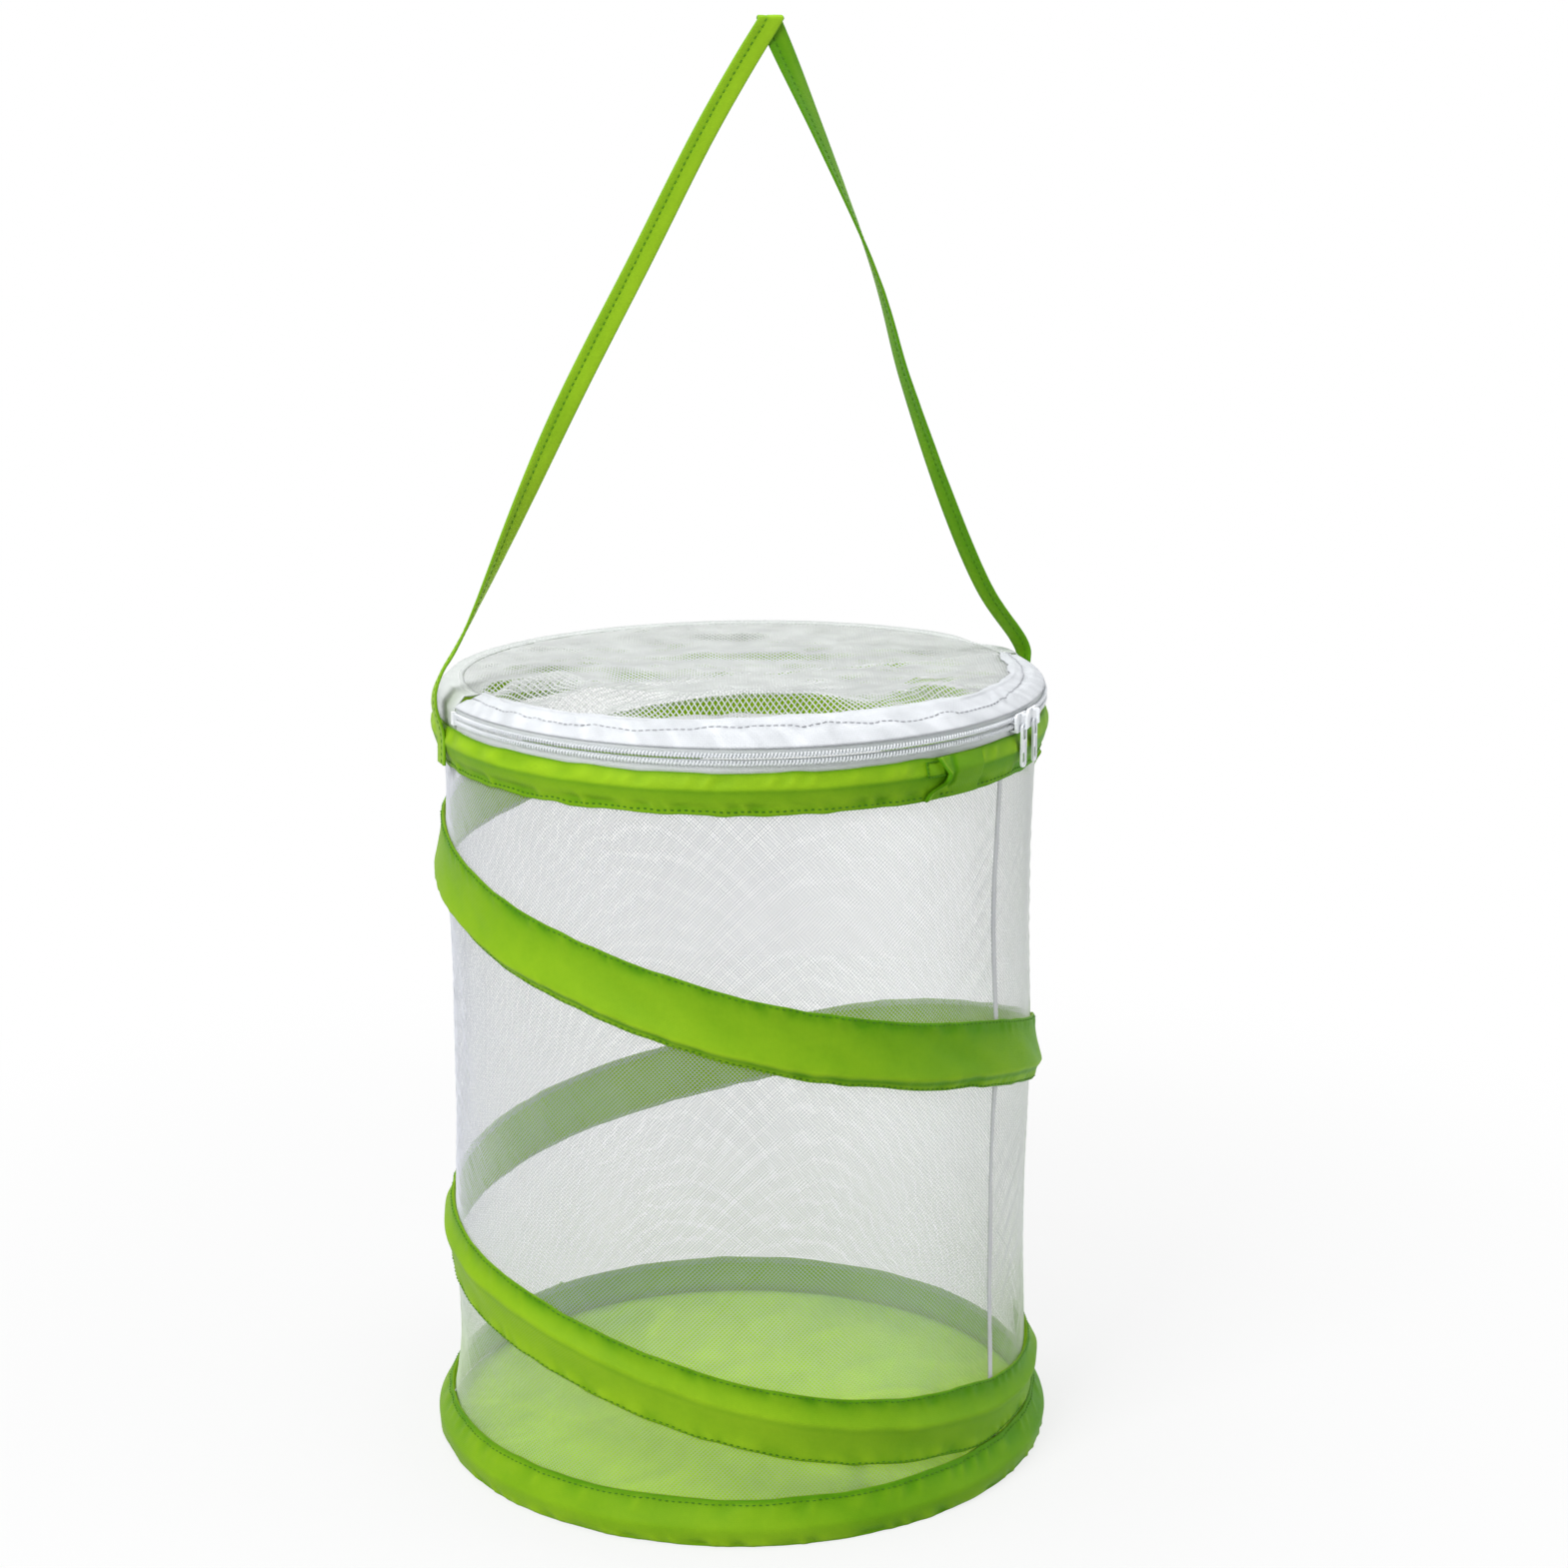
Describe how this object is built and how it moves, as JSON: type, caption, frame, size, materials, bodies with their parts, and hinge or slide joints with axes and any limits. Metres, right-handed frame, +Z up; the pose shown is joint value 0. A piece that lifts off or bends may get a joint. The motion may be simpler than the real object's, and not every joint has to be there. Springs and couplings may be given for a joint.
{
  "type": "insect cage",
  "caption": "Pop-up round insect cage: a sprung coil and hoops in cloth sleeves, a net wall, a zipped net top flap and a folding carry strap.",
  "frame": {"origin": "middle of the floor's underside, on the cage's upright axis", "axes": "+Z up along the cage's axis, X along the line between the strap's two ends, -Y towards the zipped front half of the top"},
  "size_m": [0.291, 0.2908, 0.6577],
  "materials": {
    "green_nylon": "woven satin",
    "white_tape": "woven matte",
    "white_net": "knitted net",
    "white_zip": "semi-gloss",
    "spring_steel": "drawn wire",
    "clear_plastic": "satin"
  },
  "bodies": {
    "base": {"floor_panel": "green_nylon", "bottom_casing": "green_nylon", "bottom_casing_join": "green_nylon", "bottom_hoop_wire": "spring_steel", "bottom_hoop_ferrule": "spring_steel", "wall_mesh": "white_net", "wall_seam_tape": "white_tape", "coil_wire": "spring_steel", "coil_casing": "green_nylon", "coil_wire_cap_lower": "clear_plastic"},
    "top_frame": {"top_casing": "green_nylon", "top_casing_join": "green_nylon", "top_hoop_wire": "spring_steel", "top_hoop_ferrule": "spring_steel", "coil_wire_cap_upper": "clear_plastic", "zip_tape_lower": "white_tape", "zip_coil_lower": "white_zip", "zip_stop_left": "white_zip", "zip_stop_right": "white_zip", "top_panel_tape": "white_tape", "top_panel_mesh": "white_net"},
    "lid_flap": {"flap_mesh": "white_net", "flap_binding": "white_tape", "zip_tape_upper": "white_tape", "zip_coil_upper": "white_zip"},
    "handle": {"handle_strap": "green_nylon"},
    "slider_left": {"zip_slider_left": "white_zip"},
    "slider_right": {"zip_slider_right": "white_zip"},
    "pull_left": {"pull_tab_left": "white_zip"},
    "pull_right": {"pull_tab_right": "white_zip"}
  },
  "joints": [
    {"name": "collapse", "type": "slide", "parent": "base", "child": "top_frame", "axis": [0, 0, 1], "range_m": [-0.297, 0], "stiffness_N_per_m": 20, "springref_m": 0.12, "deforming": ["wall_mesh", "wall_seam_tape", "coil_wire", "coil_casing", "coil_wire_cap_lower"]},
    {"name": "lid_hinge", "type": "hinge", "parent": "top_frame", "child": "lid_flap", "pos_m": [0, -0.012, 0.36708], "axis": [-1, 0, 0], "range_deg": [0, 90]},
    {"name": "strap_swing", "type": "hinge", "parent": "top_frame", "child": "handle", "pos_m": [0, 0, 0.342], "axis": [-1, 0, 0], "range_deg": [-45, 45]},
    {"name": "zip_left", "type": "hinge", "parent": "top_frame", "child": "slider_left", "pos_m": [0, 0, 0.35725], "axis": [0, 0, -1], "range_deg": [0, 121.5]},
    {"name": "zip_right", "type": "hinge", "parent": "top_frame", "child": "slider_right", "pos_m": [0, 0, 0.35725], "axis": [0, 0, 1], "range_deg": [0, 35.5]},
    {"name": "pull_left_swing", "type": "hinge", "parent": "slider_left", "child": "pull_left", "pos_m": [0.09275, -0.10877, 0.35584], "axis": [-0.7609, -0.6489, 0], "range_deg": [0, 150]},
    {"name": "pull_right_swing", "type": "hinge", "parent": "slider_right", "child": "pull_right", "pos_m": [0.10203, -0.10011, 0.35584], "axis": [-0.7004, -0.7138, 0], "range_deg": [0, 150]}
  ]
}
